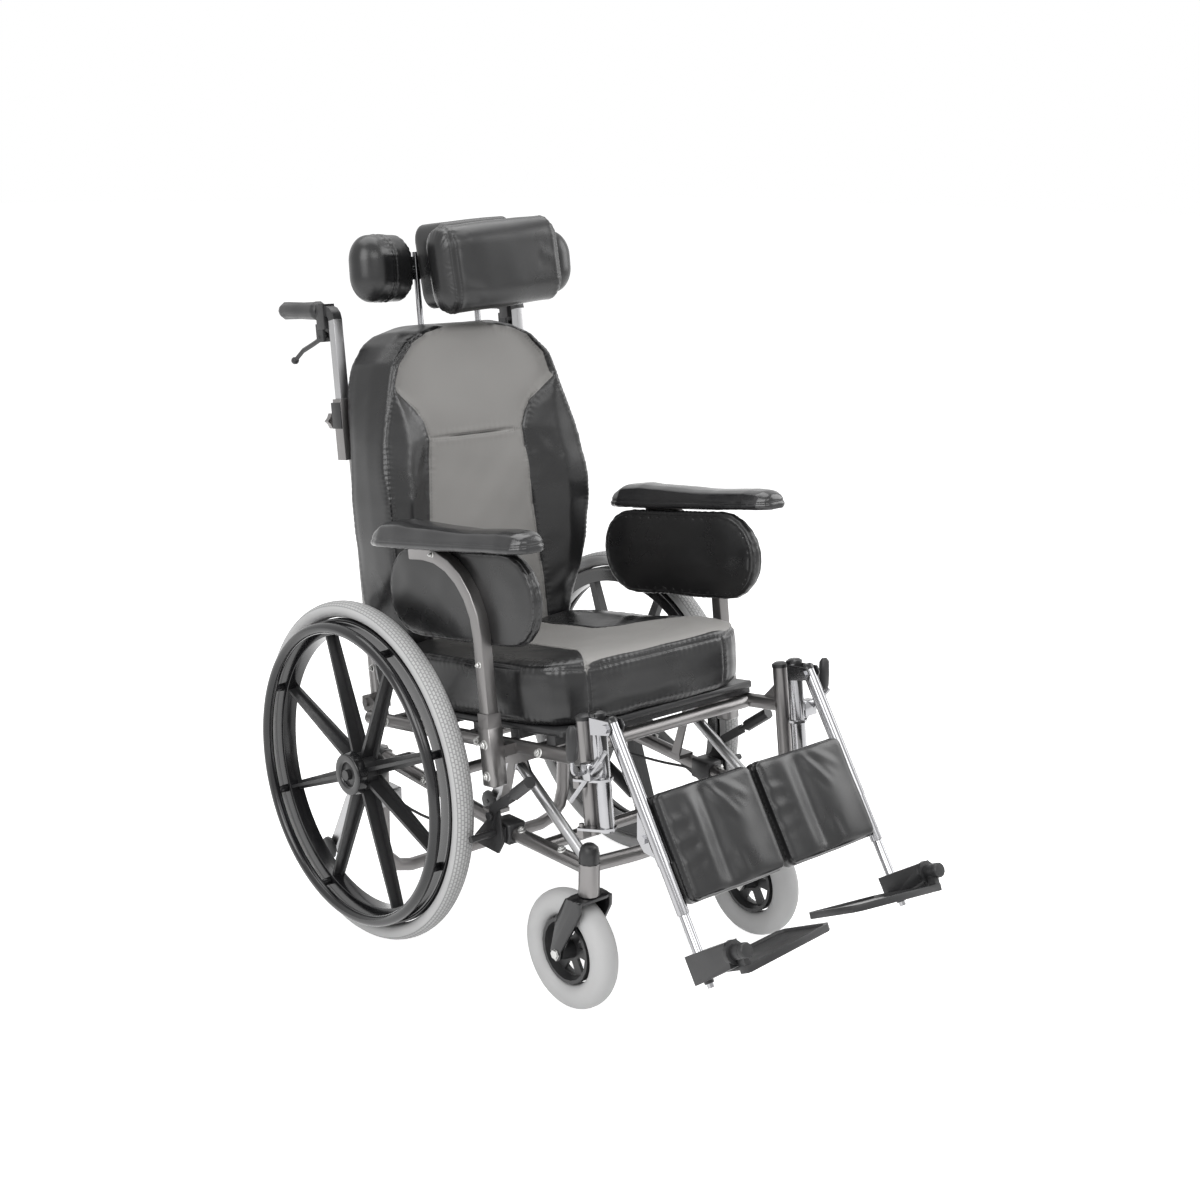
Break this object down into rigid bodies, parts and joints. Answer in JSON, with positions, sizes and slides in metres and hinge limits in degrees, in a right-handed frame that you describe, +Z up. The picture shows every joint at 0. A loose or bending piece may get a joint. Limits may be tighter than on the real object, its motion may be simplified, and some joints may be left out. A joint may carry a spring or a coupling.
{
  "type": "reclining tilt wheelchair",
  "caption": "Reclining wheelchair with padded seat and back, adjustable headrest, elevating swing-away legrests, large push wheels and front casters.",
  "frame": {"origin": "on the floor, under the middle of the chair's bounding box", "axes": "+Z up, the occupant faces -Y, +X is the occupant's left"},
  "size_m": [0.708, 1.2328, 1.2359],
  "materials": {
    "frame_gunmetal": "satin",
    "polished_chrome": "polished",
    "black_moulded_plastic": "matte",
    "black_gloss_plastic": "gloss",
    "black_vinyl": "satin",
    "grey_rubber_tyre": "matte",
    "black_rubber": "matte"
  },
  "bodies": {
    "base": {"base_frame": "frame_gunmetal", "rear_axle_left": "polished_chrome", "rear_axle_right": "polished_chrome", "brake_mount_left": "black_moulded_plastic", "brake_mount_right": "black_moulded_plastic", "brake_cable_left": "black_rubber", "brake_cable_right": "black_rubber", "anti_tip_arm_left": "polished_chrome", "anti_tip_arm_right": "polished_chrome"},
    "seat": {"seat_frame": "frame_gunmetal", "seat_board": "black_moulded_plastic", "seat_cushion": "black_vinyl", "recline_cylinder": "black_moulded_plastic"},
    "tilt_cylinder": {"tilt_cylinder": "black_moulded_plastic"},
    "tilt_rod": {"tilt_rod": "polished_chrome"},
    "recline_rod": {"recline_rod": "polished_chrome"},
    "back": {"back_frame": "frame_gunmetal", "back_cushion": "black_vinyl"},
    "headrest": {"headrest_stem": "polished_chrome", "headrest_pillow": "black_vinyl"},
    "rear_wheel_left": {"rear_tyre_left": "grey_rubber_tyre", "rear_wheel_left": "black_moulded_plastic", "handrim_left": "black_gloss_plastic"},
    "caster_swivel_left": {"caster_fork_left": "black_gloss_plastic"},
    "caster_wheel_left": {"caster_tyre_left": "grey_rubber_tyre", "caster_hub_left": "black_moulded_plastic"},
    "parking_brake_left": {"parking_brake_lever_left": "black_moulded_plastic"},
    "anti_tip_wheels_left": {"anti_tip_wheels_left": "black_moulded_plastic"},
    "armrest_left": {"armrest_post_left": "frame_gunmetal", "armpad_left": "black_gloss_plastic", "side_pad_left": "black_vinyl"},
    "push_handle_left": {"push_handle_left": "black_moulded_plastic"},
    "brake_lever_left": {"brake_lever_left": "black_moulded_plastic"},
    "headrest_wing_left": {"headrest_wing_left": "black_vinyl"},
    "leg_hanger_left": {"leg_hanger_left": "polished_chrome"},
    "release_lever_left": {"release_lever_left": "black_moulded_plastic"},
    "leg_upper_left": {"leg_upper_left": "polished_chrome"},
    "calf_pad_left": {"calf_pad_left": "black_vinyl"},
    "leg_lower_left": {"leg_lower_left": "black_moulded_plastic"},
    "footplate_left": {"footplate_left": "black_moulded_plastic"},
    "rear_wheel_right": {"rear_tyre_right": "grey_rubber_tyre", "rear_wheel_right": "black_moulded_plastic", "handrim_right": "black_gloss_plastic"},
    "caster_swivel_right": {"caster_fork_right": "black_gloss_plastic"},
    "caster_wheel_right": {"caster_tyre_right": "grey_rubber_tyre", "caster_hub_right": "black_moulded_plastic"},
    "parking_brake_right": {"parking_brake_lever_right": "black_moulded_plastic"},
    "anti_tip_wheels_right": {"anti_tip_wheels_right": "black_moulded_plastic"},
    "armrest_right": {"armrest_post_right": "frame_gunmetal", "armpad_right": "black_gloss_plastic", "side_pad_right": "black_vinyl"},
    "push_handle_right": {"push_handle_right": "black_moulded_plastic"},
    "brake_lever_right": {"brake_lever_right": "black_moulded_plastic"},
    "headrest_wing_right": {"headrest_wing_right": "black_vinyl"},
    "leg_hanger_right": {"leg_hanger_right": "polished_chrome"},
    "release_lever_right": {"release_lever_right": "black_moulded_plastic"},
    "leg_upper_right": {"leg_upper_right": "polished_chrome"},
    "calf_pad_right": {"calf_pad_right": "black_vinyl"},
    "leg_lower_right": {"leg_lower_right": "black_moulded_plastic"},
    "footplate_right": {"footplate_right": "black_moulded_plastic"}
  },
  "joints": [
    {"name": "seat_tilt", "type": "hinge", "parent": "base", "child": "seat", "pos_m": [0, -0.053, 0.392], "axis": [-1, 0, 0], "range_deg": [-6, 4]},
    {"name": "back_recline", "type": "hinge", "parent": "seat", "child": "back", "pos_m": [0, 0.36296, 0.37343], "axis": [-1, 0, 0], "range_deg": [0, 50]},
    {"name": "headrest_height", "type": "slide", "parent": "back", "child": "headrest", "axis": [0, 0.1219, 0.9925], "range_m": [-0.02, 0.06]},
    {"name": "tilt_cylinder_pivot", "type": "hinge", "parent": "base", "child": "tilt_cylinder", "pos_m": [0, -0.137, 0.283], "axis": [-1, 0, 0], "range_deg": [-3.2, 3.2]},
    {"name": "tilt_rod_slide", "type": "slide", "parent": "tilt_cylinder", "child": "tilt_rod", "axis": [0, 0.9144, 0.4049], "range_m": [-0.012, 0.012]},
    {"name": "recline_rod_slide", "type": "slide", "parent": "seat", "child": "recline_rod", "axis": [0, 0.9903, -0.1392], "range_m": [-0.052, 0.0005]},
    {"name": "rear_wheel_spin_left", "type": "hinge", "parent": "base", "child": "rear_wheel_left", "pos_m": [0.308, 0.235, 0.3], "axis": [1, 0, 0], "continuous": true},
    {"name": "caster_swivel_left", "type": "hinge", "parent": "base", "child": "caster_swivel_left", "pos_m": [0.212, -0.252, 0], "axis": [0, 0, 1], "continuous": true},
    {"name": "caster_spin_left", "type": "hinge", "parent": "caster_swivel_left", "child": "caster_wheel_left", "pos_m": [0.212, -0.212, 0.1], "axis": [1, 0, 0], "continuous": true},
    {"name": "parking_brake_left", "type": "hinge", "parent": "base", "child": "parking_brake_left", "pos_m": [0, -0.073, 0.3], "axis": [1, 0, 0], "range_deg": [-12, 8]},
    {"name": "anti_tip_spin_left", "type": "hinge", "parent": "base", "child": "anti_tip_wheels_left", "pos_m": [0.196, 0.511, 0.04], "axis": [1, 0, 0], "continuous": true},
    {"name": "armrest_height_left", "type": "slide", "parent": "seat", "child": "armrest_left", "axis": [0, 0.1392, 0.9903], "range_m": [0, 0.06]},
    {"name": "handle_height_left", "type": "slide", "parent": "back", "child": "push_handle_left", "axis": [0, 0.1219, 0.9925], "range_m": [-0.08, 0.05]},
    {"name": "brake_lever_left", "type": "hinge", "parent": "push_handle_left", "child": "brake_lever_left", "pos_m": [0.206, 0.4831, 1.02363], "axis": [1, 0, 0], "range_deg": [0, 14], "stiffness_Nm_per_rad": 0.5, "springref_deg": -8.59},
    {"name": "headrest_wing_left", "type": "hinge", "parent": "headrest", "child": "headrest_wing_left", "pos_m": [0.122, 0.41214, 1.14317], "axis": [0, -0.1219, -0.9925], "range_deg": [-20, 5]},
    {"name": "hanger_swing_left", "type": "hinge", "parent": "seat", "child": "leg_hanger_left", "pos_m": [0.244, -0.25799, 0.42081], "axis": [0, 0.1392, 0.9903], "range_deg": [0, 90]},
    {"name": "release_lever_left", "type": "hinge", "parent": "leg_hanger_left", "child": "release_lever_left", "pos_m": [0.244, -0.29383, 0.43594], "axis": [1, 0, 0], "range_deg": [-20, 20], "stiffness_Nm_per_rad": 0.4},
    {"name": "leg_elevation_left", "type": "hinge", "parent": "leg_hanger_left", "child": "leg_upper_left", "pos_m": [0.222, -0.31376, 0.50539], "axis": [-1, 0, 0], "range_deg": [0, 55]},
    {"name": "calf_pad_tilt_left", "type": "hinge", "parent": "leg_upper_left", "child": "calf_pad_left", "pos_m": [0.222, -0.37779, 0.3407], "axis": [1, 0, 0], "range_deg": [-10, 10]},
    {"name": "leg_length_left", "type": "slide", "parent": "leg_upper_left", "child": "leg_lower_left", "axis": [0, -0.5446, -0.8387], "range_m": [-0.02, 0.07]},
    {"name": "footplate_flip_left", "type": "hinge", "parent": "leg_lower_left", "child": "footplate_left", "pos_m": [0.222, -0.57912, 0.23356], "axis": [0, 0.8988, -0.4384], "range_deg": [0, 22]},
    {"name": "rear_wheel_spin_right", "type": "hinge", "parent": "base", "child": "rear_wheel_right", "pos_m": [-0.308, 0.235, 0.3], "axis": [1, 0, 0], "continuous": true},
    {"name": "caster_swivel_right", "type": "hinge", "parent": "base", "child": "caster_swivel_right", "pos_m": [-0.212, -0.252, 0], "axis": [0, 0, 1], "continuous": true},
    {"name": "caster_spin_right", "type": "hinge", "parent": "caster_swivel_right", "child": "caster_wheel_right", "pos_m": [-0.212, -0.212, 0.1], "axis": [1, 0, 0], "continuous": true},
    {"name": "parking_brake_right", "type": "hinge", "parent": "base", "child": "parking_brake_right", "pos_m": [0, -0.073, 0.3], "axis": [1, 0, 0], "range_deg": [-12, 8]},
    {"name": "anti_tip_spin_right", "type": "hinge", "parent": "base", "child": "anti_tip_wheels_right", "pos_m": [-0.196, 0.511, 0.04], "axis": [1, 0, 0], "continuous": true},
    {"name": "armrest_height_right", "type": "slide", "parent": "seat", "child": "armrest_right", "axis": [0, 0.1392, 0.9903], "range_m": [0, 0.06]},
    {"name": "handle_height_right", "type": "slide", "parent": "back", "child": "push_handle_right", "axis": [0, 0.1219, 0.9925], "range_m": [-0.08, 0.05]},
    {"name": "brake_lever_right", "type": "hinge", "parent": "push_handle_right", "child": "brake_lever_right", "pos_m": [-0.206, 0.4831, 1.02363], "axis": [1, 0, 0], "range_deg": [0, 14], "stiffness_Nm_per_rad": 0.5, "springref_deg": -8.59},
    {"name": "headrest_wing_right", "type": "hinge", "parent": "headrest", "child": "headrest_wing_right", "pos_m": [-0.086, 0.41214, 1.14317], "axis": [0, 0.1219, 0.9925], "range_deg": [-20, 5]},
    {"name": "hanger_swing_right", "type": "hinge", "parent": "seat", "child": "leg_hanger_right", "pos_m": [-0.244, -0.25799, 0.42081], "axis": [0, -0.1392, -0.9903], "range_deg": [0, 90]},
    {"name": "release_lever_right", "type": "hinge", "parent": "leg_hanger_right", "child": "release_lever_right", "pos_m": [-0.244, -0.29383, 0.43594], "axis": [1, 0, 0], "range_deg": [-20, 20], "stiffness_Nm_per_rad": 0.4},
    {"name": "leg_elevation_right", "type": "hinge", "parent": "leg_hanger_right", "child": "leg_upper_right", "pos_m": [-0.222, -0.31376, 0.50539], "axis": [-1, 0, 0], "range_deg": [0, 55]},
    {"name": "calf_pad_tilt_right", "type": "hinge", "parent": "leg_upper_right", "child": "calf_pad_right", "pos_m": [-0.222, -0.37779, 0.3407], "axis": [1, 0, 0], "range_deg": [-10, 10]},
    {"name": "leg_length_right", "type": "slide", "parent": "leg_upper_right", "child": "leg_lower_right", "axis": [0, -0.5446, -0.8387], "range_m": [-0.02, 0.07]},
    {"name": "footplate_flip_right", "type": "hinge", "parent": "leg_lower_right", "child": "footplate_right", "pos_m": [-0.222, -0.57912, 0.23356], "axis": [0, -0.8988, 0.4384], "range_deg": [0, 22]}
  ],
  "couplings": [
    {"joint": "tilt_cylinder_pivot", "follows": "seat_tilt", "ratio": 0.36},
    {"joint": "tilt_rod_slide", "follows": "seat_tilt", "m_per_rad": -0.0625},
    {"joint": "recline_rod_slide", "follows": "back_recline", "m_per_rad": -0.0535}
  ]
}
